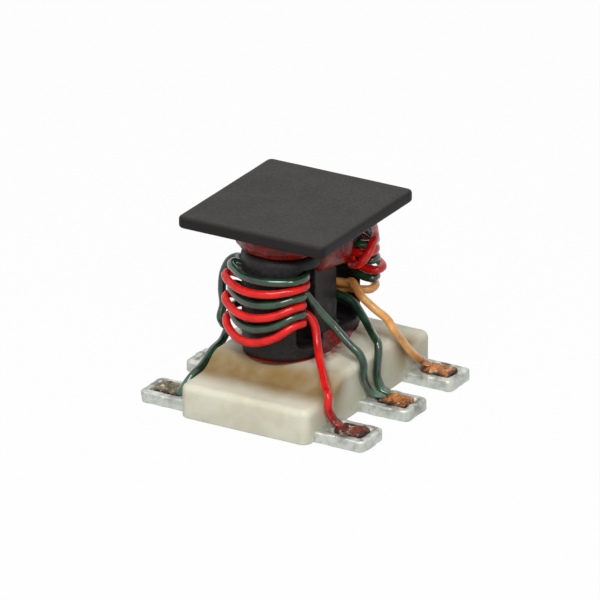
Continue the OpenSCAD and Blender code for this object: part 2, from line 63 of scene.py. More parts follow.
# Sizes read from the frame, in millimetres
base_low, base_high = node_box("header_base")
BASE_W = base_high.x - base_low.x
BASE_L = base_high.y - base_low.y
PEDESTAL_H = base_high.z
lead_low, lead_high = node_box("lead_front_right")
LEAD_T = lead_high.z
LEAD_W = lead_high.y - lead_low.y
LEAD_TIP_X = lead_high.x
LEAD_INNER_X = lead_low.x
LEAD_PITCH = -(lead_low.y + lead_high.y) / 2
core_low, core_high = node_box("ferrite_core")
CORE_X = (core_low.x + core_high.x) / 2
CORE_Y = (core_low.y + core_high.y) / 2
CORE_D = core_high.x - core_low.x
CORE_L = core_high.y - core_low.y
CORE_Z = core_low.z
CORE_TOP = core_high.z
plate_low, plate_high = node_box("top_plate")
nugget_low, nugget_high = node_box("weld_front_right")

# Sizes that the part's source names
LEDGE_H = 0.54
PEDESTAL_L = 1.5
RAMP_L = 0.42
BASE_CORNER_R = 0.14
BASE_EDGE_R = 0.11
LEAD_TIP_R = 0.1
LEAD_EDGE_R = 0.035
DIMPLE_W = 0.4
DIMPLE_L = 0.5
DIMPLE_DEPTH = 0.03
WAIST_W = 0.84
WEB_L = 0.62
YOKE_H = 0.18
CORE_EDGE_R = 0.1
WINDOW_R = 0.12
PLATE_CORNER_R = 0.1
PLATE_EDGE_R = 0.05
WIRE_D = 0.125
WIRE_GAP = 0.011
WINDING_SLACK = 0.1375
WINDOW_SLACK = 0.048
WIRE_COLUMNS = 4

CORE_R = CORE_D / 2
LEG_OFFSET = CORE_L / 2 - CORE_R
LEG_Y = {FRONT: CORE_Y - LEG_OFFSET, BACK: CORE_Y + LEG_OFFSET}
WIRE_R = WIRE_D / 2
WINDOW_W = WIRE_COLUMNS * (WIRE_D + WIRE_GAP) + WINDOW_SLACK
WINDOW_TOP = CORE_TOP - YOKE_H
WINDOW_LOW = CORE_Z + YOKE_H
WELD_X = (nugget_low.x + nugget_high.x) / 2


def mix(a, b, share):
    return a + (b - a) * share


def between(a, b, shares):
    return tuple(mix(a[i], b[i], shares[i]) for i in range(3))


def clamp(value, low=0.0, high=1.0):
    return max(low, min(high, value))


def smooth(t):
    """Share from 0 to 1 that starts and ends gently."""
    t = clamp(t)
    return t * t * (3 - 2 * t)


def ripple(p, size, seed=0.0):
    """Smooth noise from about -1 to 1 whose lumps are about size across."""
    return noise.noise(Vector(p) / size + Vector((seed, 1.7 * seed, -seed)))


# Mesh helpers

LARGEST_CORNER_SHARE = 0.49
LOW_EDGE_STEPS = 4
FLAT_SMOOTH_ANGLE = 50
SKIN_SMOOTH_ANGLE = 60


def arc(cx, cy, r, start, end, steps):
    return [(cx + r * cos(radians(mix(start, end, i / steps))),
             cy + r * sin(radians(mix(start, end, i / steps)))) for i in range(steps + 1)]


def rounded_rect(cx, cy, w, l, r, corner, along):
    """Outline of a rectangle with rounded corners, with points along its straight sides too."""
    r = min(r, LARGEST_CORNER_SHARE * w, LARGEST_CORNER_SHARE * l)
    corners = [
        arc(cx + w / 2 - r, cy + l / 2 - r, r, 0, 90, corner),
        arc(cx - w / 2 + r, cy + l / 2 - r, r, 90, 180, corner),
        arc(cx - w / 2 + r, cy - l / 2 + r, r, 180, 270, corner),
        arc(cx + w / 2 - r, cy - l / 2 + r, r, 270, 360, corner),
    ]
    points = []
    for k in range(4):
        points += corners[k]
        a, b = corners[k][-1], corners[(k + 1) % 4][0]
        points += [(mix(a[0], b[0], i / along), mix(a[1], b[1], i / along)) for i in range(1, along)]
    return points


def loft(rings):
    """Vertices and faces of a closed skin through rings of equal counts, from the bottom up."""
    count = len(rings[0])
    points = [p for ring in rings for p in ring]
    faces = []
    for k in range(len(rings) - 1):
        for i in range(count):
            j = (i + 1) % count
            faces.append((k * count + i, k * count + j, (k + 1) * count + j, (k + 1) * count + i))
    faces.append(tuple(reversed(range(count))))
    faces.append(tuple(range((len(rings) - 1) * count, len(rings) * count)))
    return points, faces


def edge_steps(r, steps=6):
    """Pairs of inset and drop along a rounded edge, from the wall to the flat."""
    return [(r * (1 - cos(radians(90 * i / steps))), r * (1 - sin(radians(90 * i / steps))))
            for i in range(steps + 1)]


def slab(outline, insets, bottom, top, edge_r, low_edge_r):
    """Slab with rounded edges: outline(inset) gives a ring, and top(x, y) the height of its upper face."""
    rings = []
    for inset, drop in reversed(edge_steps(low_edge_r, LOW_EDGE_STEPS)):
        rings.append([(x, y, bottom + drop) for x, y in outline(inset)])
    for inset, drop in edge_steps(edge_r):
        rings.append([(x, y, top(x, y) - drop) for x, y in outline(inset)])
    for inset in insets:
        rings.append([(x, y, top(x, y)) for x, y in outline(inset)])
    return loft(rings)


def new_mesh(name, points, faces):
    """Mesh with its caps cut into triangles and its normals outward."""
    mesh = bpy.data.meshes.new(name)
    mesh.from_pydata([Vector(p) for p in points], [], faces)
    mesh.validate()
    bm = bmesh.new()
    bm.from_mesh(mesh)
    caps = [face for face in bm.faces if len(face.verts) > 4]
    bmesh.ops.triangulate(bm, faces=caps, ngon_method="BEAUTY")
    bmesh.ops.recalc_face_normals(bm, faces=bm.faces)
    bm.to_mesh(mesh)
    bm.free()
    shade(mesh, FLAT_SMOOTH_ANGLE)
    return mesh


def shade(mesh, smooth_angle):
    """Smooth shading, with edges sharper than an angle in degrees kept crisp."""
    mesh.polygons.foreach_set("use_smooth", [True] * len(mesh.polygons))
    mesh.set_sharp_from_angle(angle=radians(smooth_angle))


def set_attribute(mesh, name, measure):
    """Stores a value from 0 to 1 on each vertex, measured from its place in millimetres."""
    layer = mesh.attributes.new(name, "FLOAT", "POINT")
    layer.data.foreach_set("value", [clamp(measure(v.co)) for v in mesh.vertices])


def place_piece(name, mesh, nodes, material):
    """Puts a mesh made in millimetres into the frame, in place of the CAD nodes that it stands for."""
    mesh.transform(Matrix.Scale(MM, 4))
    piece = bpy.data.objects.new(name, mesh)
    bpy.context.scene.collection.objects.link(piece)
    piece.data.materials.append(material)
    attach(piece, "root")
    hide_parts(*nodes)


def modified(mesh, set_up):
    """Mesh after modifiers that set_up adds to a holder; set_up returns the helper objects to remove."""
    holder = bpy.data.objects.new("holder", mesh)
    bpy.context.scene.collection.objects.link(holder)
    helpers = set_up(holder)
    bpy.context.view_layer.update()
    result = bpy.data.meshes.new_from_object(holder.evaluated_get(bpy.context.evaluated_depsgraph_get()))
    for item in [holder] + helpers:
        bpy.data.objects.remove(item)
    return result


def remesh(holder, voxel, rounds):
    """Lays an even skin over closed solids and softens it, with no helper objects."""
    skin = holder.modifiers.new("Skin", "REMESH")
    skin.mode = "VOXEL"
    skin.voxel_size = voxel
    soft = holder.modifiers.new("Soften", "SMOOTH")
    soft.iterations = rounds
    soft.factor = 0.5
    return []


# Materials

class Shader:
    """Principled material with shorthand for procedural detail in the part's own coordinates."""

    def __init__(self, name, **values):
        self.material = bpy.data.materials.new(name)
        self.material.use_nodes = True
        self.tree = self.material.node_tree
        self.nodes = self.tree.nodes
        self.body = self.nodes["Principled BSDF"]
        self.coordinates = self.nodes.new("ShaderNodeTexCoord").outputs["Object"]
        for key, value in values.items():
            self.body.inputs[key.replace("_", " ").title().replace("Ior", "IOR")].default_value = value

    def link(self, source, target):
        self.tree.links.new(source, target)

    def noise(self, size, detail=4.0, roughness=0.6, stretch=None):
        """Noise from 0 to 1 with lumps of about size millimetres."""
        node = self.nodes.new("ShaderNodeTexNoise")
        node.inputs["Scale"].default_value = 1 / (size * MM)
        node.inputs["Detail"].default_value = detail
        node.inputs["Roughness"].default_value = roughness
        source = self.coordinates
        if stretch:
            mapping = self.nodes.new("ShaderNodeMapping")
            mapping.inputs["Scale"].default_value = stretch
            self.link(source, mapping.inputs["Vector"])
            source = mapping.outputs["Vector"]
        self.link(source, node.inputs["Vector"])
        return node.outputs["Fac"]

    def upward(self):
        """How far a face looks up, from -1 to 1."""
        split = self.nodes.new("ShaderNodeSeparateXYZ")
        self.link(self.nodes.new("ShaderNodeNewGeometry").outputs["Normal"], split.inputs["Vector"])
        return split.outputs["Z"]

    def attribute(self, name):
        node = self.nodes.new("ShaderNodeAttribute")
        node.attribute_name = name
        return node.outputs["Fac"]

    def span(self, value, low, high, out_low=0.0, out_high=1.0):
        """Value mapped smoothly from low and high to out_low and out_high."""
        node = self.nodes.new("ShaderNodeMapRange")
        node.interpolation_type = "SMOOTHSTEP"
        node.inputs["From Min"].default_value = low
        node.inputs["From Max"].default_value = high
        node.inputs["To Min"].default_value = out_low
        node.inputs["To Max"].default_value = out_high
        self.link(value, node.inputs["Value"])
        return node.outputs["Result"]

    def times(self, a, b):
        node = self.nodes.new("ShaderNodeMath")
        node.operation = "MULTIPLY"
        self.link(a, node.inputs[0])
        self.link(b, node.inputs[1])
        return node.outputs["Value"]

    def blend(self, factor, a, b):
        """Colour from a to b by a factor; each is a colour or a socket."""
        node = self.nodes.new("ShaderNodeMix")
        node.data_type = "RGBA"
        self.link(factor, node.inputs["Factor"])
        for socket, value in ((node.inputs[6], a), (node.inputs[7], b)):
            if isinstance(value, tuple):
                socket.default_value = (*value, 1.0)
            else:
                self.link(value, socket)
        return node.outputs[2]

    def colour(self, socket):
        self.link(socket, self.body.inputs["Base Color"])

    def rough(self, value, low, high):
        """Roughness from low to high by a noise."""
        self.link(self.span(value, 0.3, 0.7, low, high), self.body.inputs["Roughness"])

    def bump(self, value, height, strength):
        """Relief of about height millimetres by a noise."""
        node = self.nodes.new("ShaderNodeBump")
        node.inputs["Strength"].default_value = strength
        node.inputs["Distance"].default_value = height * MM
        self.link(value, node.inputs["Height"])
        self.link(node.outputs["Normal"], self.body.inputs["Normal"])


def srgb(r, g, b):
    """Linear colour of an sRGB colour written from 0 to 255."""
    def linear(v):
        v /= 255
        return v / 12.92 if v <= 0.04045 else ((v + 0.055) / 1.055) ** 2.4
    return tuple(linear(v) for v in (r, g, b))


IVORY = srgb(219, 217, 197)
IVORY_SHADE = srgb(207, 203, 181)
# Tan painted shade for the hollows low on the base's ramps, under the plate
PAINTED_SHADE_TAN = srgb(136, 108, 58)
ADHESIVE_STAIN = srgb(172, 58, 46)
TIN = srgb(208, 212, 204)
TIN_SHADE = srgb(182, 187, 179)
TIN_BRUSHED = srgb(162, 165, 156)
TIN_SPATTER = srgb(84, 78, 66)
FERRITE_DARK = srgb(22, 20, 20)
FERRITE_LIGHT = srgb(44, 41, 43)
# Painted shade for the plate's sides and underside
PLATE_SIDE_SHADE = srgb(30, 27, 27)
PLATE_DARK = srgb(40, 39, 37)
PLATE_LIGHT = srgb(48, 46, 44)
ADHESIVE_RED = srgb(150, 24, 18)
ADHESIVE_BROWN = srgb(82, 24, 16)
WELD_TINNED = srgb(206, 192, 168)
WELD_RIM = srgb(34, 28, 22)


def base_material():
    """Ivory moulded plastic with tan painted shade low on its ramps, and a pink stain from the adhesive
    beside the core.
    """
    s = Shader("Ivory plastic", specular_ior_level=0.3, subsurface_weight=0.25, subsurface_scale=0.25 * MM)
    s.body.inputs["Subsurface Radius"].default_value = (1.0, 0.75, 0.5)
    mottle = s.span(s.noise(size=0.5, detail=3), 0.35, 0.7)
    plain = s.blend(mottle, IVORY, IVORY_SHADE)
    patchy = s.span(s.noise(size=0.4, detail=2), 0.25, 0.7, 0.8, 1.0)
    # Painted shade: tan laid over the ivory low on each ramp, broken up in patches
    ramp_shaded = s.blend(s.times(s.attribute("painted_ramp_shade"), patchy), plain, PAINTED_SHADE_TAN)
    specks = s.span(s.noise(size=0.12), 0.3, 0.6)
    s.colour(s.blend(s.times(s.attribute("stain"), specks), ramp_shaded, ADHESIVE_STAIN))
    grain = s.noise(size=0.05, detail=5)
    s.rough(grain, 0.42, 0.58)
    s.bump(grain, height=0.012, strength=0.5)
    return s.material


def lead_material():
    """Dull tin, brushed and faintly hammered, scorched round the dimple."""
    s = Shader("Tinned lead", metallic=0.6)
    cloud = s.noise(size=0.22, detail=5)
    brushed = s.noise(size=0.1, stretch=(1.0, 0.25, 1.0))
    plain = s.blend(s.span(cloud, 0.35, 0.7), TIN, TIN_SHADE)
    plain = s.blend(s.span(brushed, 0.5, 0.8), plain, TIN_BRUSHED)
    specks = s.span(s.noise(size=0.16), 0.42, 0.66)
    s.colour(s.blend(s.times(s.attribute("spatter"), specks), plain, TIN_SPATTER))
    s.rough(cloud, 0.34, 0.58)
    s.bump(s.noise(size=0.07), height=0.016, strength=0.7)
    return s.material


def ferrite_material():
    """Dark ferrite with a fine grain."""
    s = Shader("Ferrite", specular_ior_level=0.22)
    grain = s.noise(size=0.05, detail=6, roughness=0.7)
    s.colour(s.blend(s.span(grain, 0.3, 0.7), FERRITE_DARK, FERRITE_LIGHT))
    s.rough(s.noise(size=0.2), 0.34, 0.6)
    s.bump(grain, height=0.012, strength=0.6)
    return s.material


def plate_material():
    """Matt black plate, with painted shade on its sides and underside, so that its upper face is a little
    lighter.
    """
    s = Shader("Black plate", specular_ior_level=0.15)
    grain = s.noise(size=0.035, detail=5)
    top = s.blend(s.span(s.noise(size=0.6, detail=3), 0.3, 0.7), PLATE_DARK, PLATE_LIGHT)
    # Painted shade: faces that look up less take the darker side colour
    s.colour(s.blend(s.span(s.upward(), 0.3, 0.95), PLATE_SIDE_SHADE, top))
    s.rough(grain, 0.48, 0.62)
    s.bump(grain, height=0.006, strength=0.5)
    return s.material


def adhesive_material():
    """Red adhesive, glossy and a little clear, browner in patches."""
    s = Shader("Red adhesive", roughness=0.3, specular_ior_level=0.25, subsurface_weight=0.1,
               subsurface_scale=0.1 * MM)
    s.body.inputs["Subsurface Radius"].default_value = (1.0, 0.2, 0.12)
    patch = s.span(s.noise(size=0.18, detail=5), 0.35, 0.68)
    s.colour(s.blend(patch, ADHESIVE_RED, ADHESIVE_BROWN))
    s.bump(s.noise(size=0.09), height=0.03, strength=0.5)
    return s.material


def enamel_material(name, light, dark, burnt, gloss):
    """Enamelled wire whose coat scorches at its welded ends."""
    s = Shader(name, roughness=0.3, specular_ior_level=0.25, coat_weight=gloss, coat_roughness=0.07)
    patch = s.span(s.noise(size=0.25), 0.35, 0.68)
    specks = s.span(s.noise(size=0.06), 0.25, 0.55, 0.55, 1.0)
    s.colour(s.blend(s.times(s.attribute("burn"), specks), s.blend(patch, light, dark), burnt))
    s.bump(s.noise(size=0.12, detail=3), height=0.004, strength=0.3)
    return s.material


def weld_material(name, bright, dark):
    """Fused copper, black at its rim, with scorched and tinned patches."""
    s = Shader(name, metallic=0.5)
    patch = s.span(s.noise(size=0.16, detail=6, roughness=0.65), 0.4, 0.6)
    tinned = s.span(s.noise(size=0.12, detail=5, roughness=0.65), 0.56, 0.66)
    fused = s.blend(tinned, s.blend(patch, bright, dark), WELD_TINNED)
    specks = s.span(s.noise(size=0.14, detail=5), 0.36, 0.54)
    s.colour(s.blend(s.times(s.attribute("rim"), specks), fused, WELD_RIM))
    s.rough(s.noise(size=0.06), 0.3, 0.65)
    s.bump(s.noise(size=0.06, detail=5), height=0.04, strength=0.9)
    return s.material


# Base

BASE_UNDERSIDE_Z = 0.012
BASE_LOW_EDGE_R = 0.03
BASE_INNER_R = 0.03
BASE_RINGS = 30
BASE_RING_POWER = 1.1
BASE_MIDDLE_GAP = 0.02
BASE_SWELL_H = 0.008
BASE_PIT_H = 0.004
# Where the painted shade lies on each ramp, and how it fades down the walls
PAINTED_SHADE_PLACE = 0.75
PAINTED_SHADE_REACH = 1.15
PAINTED_SHADE_DEPTH = 0.12
PAINTED_SHADE_FADE_H = 0.1
STAIN_X, STAIN_Y = 0.42, -0.15
STAIN_W, STAIN_L = 0.22, 0.5
STAIN_REACH = 1.3
STAIN_FADE_H = 0.1


def base_top(y):
    """Height of the base's upper face at a distance from its middle."""
    return mix(PEDESTAL_H, LEDGE_H, smooth((abs(y) - PEDESTAL_L / 2) / RAMP_L))


def build_base():
    def outline(inset):
        return rounded_rect(0, 0, BASE_W - 2 * inset, BASE_L - 2 * inset,
                            max(BASE_CORNER_R - inset, BASE_INNER_R), corner=8, along=56)

    def top(x, y):
        swell = BASE_SWELL_H * ripple((x, y, 0), 0.45)
        pits = BASE_PIT_H * ripple((x, y, 3), 0.16)
        return base_top(y) + swell + pits

    def painted_ramp_shade(p):
        """Painted shade, in tan, that gathers low on each ramp and fades down the walls."""
        place = (abs(p.y) - PEDESTAL_L / 2) / RAMP_L
        near_top = smooth((p.z - LEDGE_H + PAINTED_SHADE_DEPTH) / PAINTED_SHADE_FADE_H)
        return near_top * smooth(PAINTED_SHADE_REACH - abs(place - PAINTED_SHADE_PLACE) / PAINTED_SHADE_REACH)

    def stain(p):
        foot = hypot((p.x - STAIN_X) / STAIN_W, (p.y - STAIN_Y) / STAIN_L)
        return smooth(STAIN_REACH - foot) * smooth((p.z - LEDGE_H) / STAIN_FADE_H)

    insets = [mix(BASE_EDGE_R, BASE_W / 2 - BASE_MIDDLE_GAP, (i / BASE_RINGS) ** BASE_RING_POWER)
              for i in range(1, BASE_RINGS + 1)]
    skin = slab(outline, insets, BASE_UNDERSIDE_Z, top, BASE_EDGE_R, BASE_LOW_EDGE_R)
    mesh = new_mesh("header_base", *skin)
    # Strength of the painted shade on the ramps at each vertex
    set_attribute(mesh, "painted_ramp_shade", painted_ramp_shade)
    set_attribute(mesh, "stain", stain)
    place_piece("base_body", mesh, ["header_base"], base_material())


# Leads

LEAD_LOW_EDGE_R = 0.03
LEAD_INNER_R = 0.02
LEAD_RINGS = 26
LEAD_MIDDLE_GAP = 0.01
LEAD_TOP_DROP = 0.022
HAMMER_H = 0.012
DIMPLE_EDGE_L = 0.03
RIDGE_H = 0.016
RIDGE_PLACE = 1.6
WEAR_SHARE = 0.05
SPATTER_L, SPATTER_W = 0.3, 0.24
SPATTER_REACH = 1.8
SPATTER_FADE_H = 0.05
BARE_SPATTER_SHARE = 0.7


def build_lead(side, row, material):
    """Flat lead with a dimple for its weld, a broken ridge round it, and worn edges."""
    length = LEAD_TIP_X - LEAD_INNER_X
    seed = 5.0 * side + row
    spatter_share = BARE_SPATTER_SHARE if (side, row) == (LEFT, MIDDLE) else 1.0

    def outline(inset):
        return rounded_rect((LEAD_TIP_X + LEAD_INNER_X) / 2, 0, length - 2 * inset, LEAD_W - 2 * inset,
                            max(LEAD_TIP_R - inset, LEAD_INNER_R), corner=6, along=36)

    def top(x, y):
        across = (abs(y) - DIMPLE_W / 2) / DIMPLE_EDGE_L
        lengthways = (abs(x - WELD_X) - DIMPLE_L / 2) / DIMPLE_EDGE_L
        outside = max(across, lengthways)
        floor = -DIMPLE_DEPTH * smooth(0.5 - outside)
        broken = clamp(0.5 + ripple((x, y, 0), 0.16, seed + 1))
        ridge = RIDGE_H * smooth(1 - abs(outside - RIDGE_PLACE) / RIDGE_PLACE) * broken
        return LEAD_T - LEAD_TOP_DROP + floor + ridge + HAMMER_H * ripple((x, y, 0), 0.13, seed)

    def spatter(p):
        away = hypot((abs(p.x) - WELD_X) / SPATTER_L, (p.y - row * LEAD_PITCH) / SPATTER_W)
        near_top = smooth((p.z - LEAD_T / 2) / SPATTER_FADE_H)
        return spatter_share * smooth(SPATTER_REACH - away) * near_top

    insets = [mix(LEAD_EDGE_R, LEAD_W / 2 - LEAD_MIDDLE_GAP, i / LEAD_RINGS)
              for i in range(1, LEAD_RINGS + 1)]
    points, faces = slab(outline, insets, 0, top, LEAD_EDGE_R, LEAD_LOW_EDGE_R)
    worn = []
    for x, y, z in points:
        wear = 1 - WEAR_SHARE * clamp(0.5 + ripple((x, y, z), 0.14, seed + 3))
        worn.append((side * (WELD_X + (x - WELD_X) * wear), row * LEAD_PITCH + y * wear, z))
    name = f"lead_{ROWS[row]}_{SIDES[side]}"
    mesh = new_mesh(name, worn, faces)
    set_attribute(mesh, "spatter", spatter)
    place_piece(name + "_strip", mesh, [name], material)


# Core

OPENING_OVERRUN = 0.2
CORE_VOXEL = 0.02
CORE_GRAIN_H = 0.004


def core_outline(inset, steps=40):
    """Outline of the two legs and the waist between them."""
    r = CORE_R - inset
    a = degrees(acos((WAIST_W / 2 - inset) / r))
    back = arc(CORE_X, LEG_Y[BACK], r, -a, 180 + a, steps)
    front = arc(CORE_X, LEG_Y[FRONT], r, 180 - a, 360 + a, steps)
    return back + front


def opening_mesh(middle_y, width, x_from, x_to):
    """Block with rounded corners, as high as the windows, that opens the core along X."""
    ring = rounded_rect(middle_y, (WINDOW_TOP + WINDOW_LOW) / 2, width, WINDOW_TOP - WINDOW_LOW,
                        WINDOW_R, corner=8, along=4)
    return new_mesh("opening", *loft([[(x, y, z) for y, z in ring] for x in (x_from, x_to)]))


def opening_meshes():
    """The two windows, and the cuts that keep the web between them no wider than the waist."""
    reach = CORE_R + OPENING_OVERRUN
    both = WEB_L + 2 * WINDOW_W
    windows = []
    for leg in (FRONT, BACK):
        middle_y = CORE_Y + leg * (WEB_L / 2 + WINDOW_W / 2)
        windows.append(opening_mesh(middle_y, WINDOW_W, CORE_X - reach, CORE_X + reach))
    reliefs = []
    for side in (RIGHT, LEFT):
        reliefs.append(opening_mesh(CORE_Y, both, CORE_X + side * WAIST_W / 2, CORE_X + side * reach))
    return windows + reliefs


def build_core():
    edge = edge_steps(CORE_EDGE_R)
    rings = []
    for inset, drop in reversed(edge):
        rings.append([(x, y, CORE_Z + drop) for x, y in core_outline(inset)])
    for inset, drop in edge:
        rings.append([(x, y, CORE_TOP - drop) for x, y in core_outline(inset)])

    def cut(holder):
        tools = []
        for opening in opening_meshes():
            tool = bpy.data.objects.new("opening", opening)
            bpy.context.scene.collection.objects.link(tool)
            tool.hide_render = True
            step = holder.modifiers.new("Opening", "BOOLEAN")
            step.object = tool
            step.operation = "DIFFERENCE"
            step.solver = "EXACT"
            tools.append(tool)
        remesh(holder, CORE_VOXEL, rounds=4)
        return tools

    mesh = modified(new_mesh("ferrite_core", *loft(rings)), cut)
    moved = [v.co + v.normal * CORE_GRAIN_H * ripple(v.co, 0.18) for v in mesh.vertices]
    mesh.vertices.foreach_set("co", [c for point in moved for c in point])
    shade(mesh, SKIN_SMOOTH_ANGLE)
    place_piece("core_body", mesh, ["ferrite_core"], ferrite_material())


# Adhesive

GLUE_WIDTH_SHARES = [-0.5, 0.1, 0.4, 0.55, 1]
GLUE_HEIGHT_SHARES = [0, 0.18, 0.45, 0.75, 1]
GLUE_LEVELS = 26
GLUE_FLARE = 0.16
GLUE_LUMP_H = 0.05
GLUE_RIPPLE_H = 0.02
GLUE_RIM_SHARE = 0.3
GLUE_VOXEL = 0.016
COLLAR_H = 0.24
COLLAR_FLARE = 0.05
COLLAR_L_SHARE = 0.44
COLLAR_SAG = 0.1
COLLAR_HANG = 0.1
COLLAR_LAP = 0.16
COLLAR_OVERLAP = 0.03
COLLAR_DRIP_H = 0.02
COLLAR_END_POWER = 7
FILM_LEVELS = 14
FILM_INSET = 0.02
FILM_LIFT = 0.004
FILM_SPREAD = -0.03
FILM_RIPPLE = 0.02
FILM_CLIMB = 0.02
BEAD_HALF_L = 0.6
BEAD_SPREAD = 0.27
BEAD_CLIMB = 0.23
BEAD_RIPPLE = 0.03


def profile(share, keys, values):
    """Smoothly joined value at a share along keys."""
    for k in range(len(keys) - 1):
        if share <= keys[k + 1]:
            return mix(values[k], values[k + 1], smooth((share - keys[k]) / (keys[k + 1] - keys[k])))
    return values[-1]


def collar(side, steps=40, around=28):
    """Lumpy bar of adhesive down beside the core's waist under the plate, lowest at its back end."""
    inner, outer = WAIST_W / 2 - COLLAR_OVERLAP, CORE_R + COLLAR_FLARE
    high = CORE_TOP + COLLAR_LAP
    rings = []
    for i in range(steps + 1):
        along = mix(-1, 1, i / steps)
        y = CORE_Y + along * CORE_L * COLLAR_L_SHARE / 2
        sag = COLLAR_SAG * smooth(along / 2 + 0.5)
        drip = COLLAR_DRIP_H * ripple((side, y, 0), 0.2, 3)
        low = CORE_TOP - COLLAR_H - COLLAR_HANG - sag + drip
        full = max(1 - abs(along) ** COLLAR_END_POWER, 0.0) ** 0.5
        ring = []
        for j in range(around):
            a = 2 * pi * j / around
            x = mix(inner, outer, 0.5 + 0.5 * full * cos(a))
            z = mix(low, high, 0.5 + 0.5 * full * sin(a))
            ring.append((CORE_X + side * x, y, z))
        rings.append(ring)
    return loft(rings)


def build_plate_adhesive(material):
    """Lumpy adhesive that flares from the core's top to the plate, with a collar on each side."""
    rings = []
    for k in range(GLUE_LEVELS + 1):
        share = k / GLUE_LEVELS
        grow = GLUE_FLARE * profile(share, GLUE_HEIGHT_SHARES, GLUE_WIDTH_SHARES)
        z = mix(CORE_TOP, plate_low.z, share)
        outline = rounded_rect(CORE_X, CORE_Y, CORE_D + 2 * grow, CORE_L + 2 * grow, CORE_R + grow,
                               corner=24, along=30)
        ring = []
        for x, y in outline:
            out = atan2(y - CORE_Y, x - CORE_X)
            lump = GLUE_LUMP_H * ripple((x, y, z), 0.3, 4) + GLUE_RIPPLE_H * ripple((x, y, z), 0.1, 2)
            lump *= mix(GLUE_RIM_SHARE, 1, sin(pi * clamp(share, 0.05, 0.95)))
            ring.append((x + lump * cos(out), y + lump * sin(out), z))
        rings.append(ring)
    points, faces = loft(rings)
    for side in (RIGHT, LEFT):
        more_points, more_faces = collar(side)
        faces += [tuple(i + len(points) for i in face) for face in more_faces]
        points += more_points
    blob = new_mesh("plate_adhesive", points, faces)
    mesh = modified(blob, lambda holder: remesh(holder, GLUE_VOXEL, rounds=5))
    shade(mesh, SKIN_SMOOTH_ANGLE)
    place_piece("plate_adhesive_blob", mesh, ["plate_adhesive"], material)


def build_core_adhesive(material):
    """Film under the core that climbs its foot in a fillet, with a bead in each side of the waist."""
    rings = []
    for k in range(FILM_LEVELS + 1):
        share = k / FILM_LEVELS
        ring = []
        for x, y in core_outline(FILM_INSET, 48):
            out = Vector((x - CORE_X, (y - CORE_Y) * 0.5, 0)).normalized()
            waist = smooth(1 - abs(y - CORE_Y) / BEAD_HALF_L)
            spread = FILM_SPREAD + FILM_RIPPLE * ripple((x, y, 0), 0.3, 8) + BEAD_SPREAD * waist
            climb = BEAD_CLIMB * waist + FILM_CLIMB + BEAD_RIPPLE * waist * ripple((x, y, 0), 0.22, 6)
            reach = (1 - share) ** 2 * spread
            rise = max(share * climb, 0)
            ring.append((x + out.x * reach, y + out.y * reach, PEDESTAL_H + FILM_LIFT + rise))
        rings.append(ring)
    mesh = new_mesh("core_adhesive", *loft(rings))
    place_piece("core_adhesive_fillet", mesh, ["core_adhesive"], material)


# Plate

PLATE_INNER_R = 0.02
PLATE_RINGS = 24
PLATE_MIDDLE_GAP = 0.02
PLATE_RIPPLE_H = 0.003


def build_plate():
    w, l = plate_high.x - plate_low.x, plate_high.y - plate_low.y
    cx, cy = (plate_low.x + plate_high.x) / 2, (plate_low.y + plate_high.y) / 2

    def outline(inset):
        return rounded_rect(cx, cy, w - 2 * inset, l - 2 * inset,
                            max(PLATE_CORNER_R - inset, PLATE_INNER_R), corner=8, along=40)

    def top(x, y):
        return plate_high.z - PLATE_RIPPLE_H + PLATE_RIPPLE_H * ripple((x, y, 0), 0.5)

    insets = [mix(PLATE_EDGE_R, w / 2 - PLATE_MIDDLE_GAP, i / PLATE_RINGS)
              for i in range(1, PLATE_RINGS + 1)]
    mesh = new_mesh("top_plate", *slab(outline, insets, plate_low.z, top, PLATE_EDGE_R, PLATE_EDGE_R))
    place_piece("plate_body", mesh, ["top_plate"], plate_material())


# Windings, as in the part's source

LEG_COLUMN, EXIT_COLUMN, TAIL_COLUMN, WEB_COLUMN = range(WIRE_COLUMNS)
WIRE_CLEARANCE = 2 * WIRE_GAP
COLUMN_MARGIN = WIRE_R + WIRE_CLEARANCE
COLUMN_PITCH = (WINDOW_W - 2 * COLUMN_MARGIN) / (WIRE_COLUMNS - 1)
TOP_TURN_Z = WINDOW_TOP - WIRE_R - WIRE_GAP
RIGHT_PITCH = WIRE_D + WIRE_GAP
LEFT_PITCH = 1.36 * WIRE_D
FRONT_PITCH = 1.55 * WIRE_D
BACK_PITCH = 1.136 * WIRE_D
FRONT_DIP = 0.16 * WIRE_D
BACK_DIP = 0.2 * WIRE_D
TURN_R = CORE_R + WIRE_R + WINDING_SLACK
SNUG_R = CORE_R + WIRE_R + 0.33 * WINDING_SLACK
BULGE_R = TURN_R + 0.7 * WIRE_D
ARC_ANGLES = range(25, 156, 26)
SNUG_ANGLES = range(25, 138, 28)
LOOP_ANGLES = range(0, 157, 26)
TAIL_REACH = 0.75 * CORE_R
MOUTH_SHARE = 0.7
SIDE_X = BASE_W / 2 + WIRE_R + WIRE_CLEARANCE
PAIR_SHARE = 0.75
BEND_SHARES = (0.07, 0.67, 0.5)
SNUG_BEND_SHARES = (-0.62, 0.52, 0.5)
TRANSIT_Z = TOP_TURN_Z + 1.15 * WIRE_D


def column_y(leg, column):
    return CORE_Y + leg * (WEB_L / 2 + WINDOW_W - COLUMN_MARGIN - column * COLUMN_PITCH)


def right_z(turn):
    return TOP_TURN_Z - turn * RIGHT_PITCH


def left_z(turn):
    return TOP_TURN_Z - turn * LEFT_PITCH


def front_z(turn):
    return TOP_TURN_Z - FRONT_DIP - turn * FRONT_PITCH


def back_z(turn):
    return TOP_TURN_Z - turn * BACK_PITCH


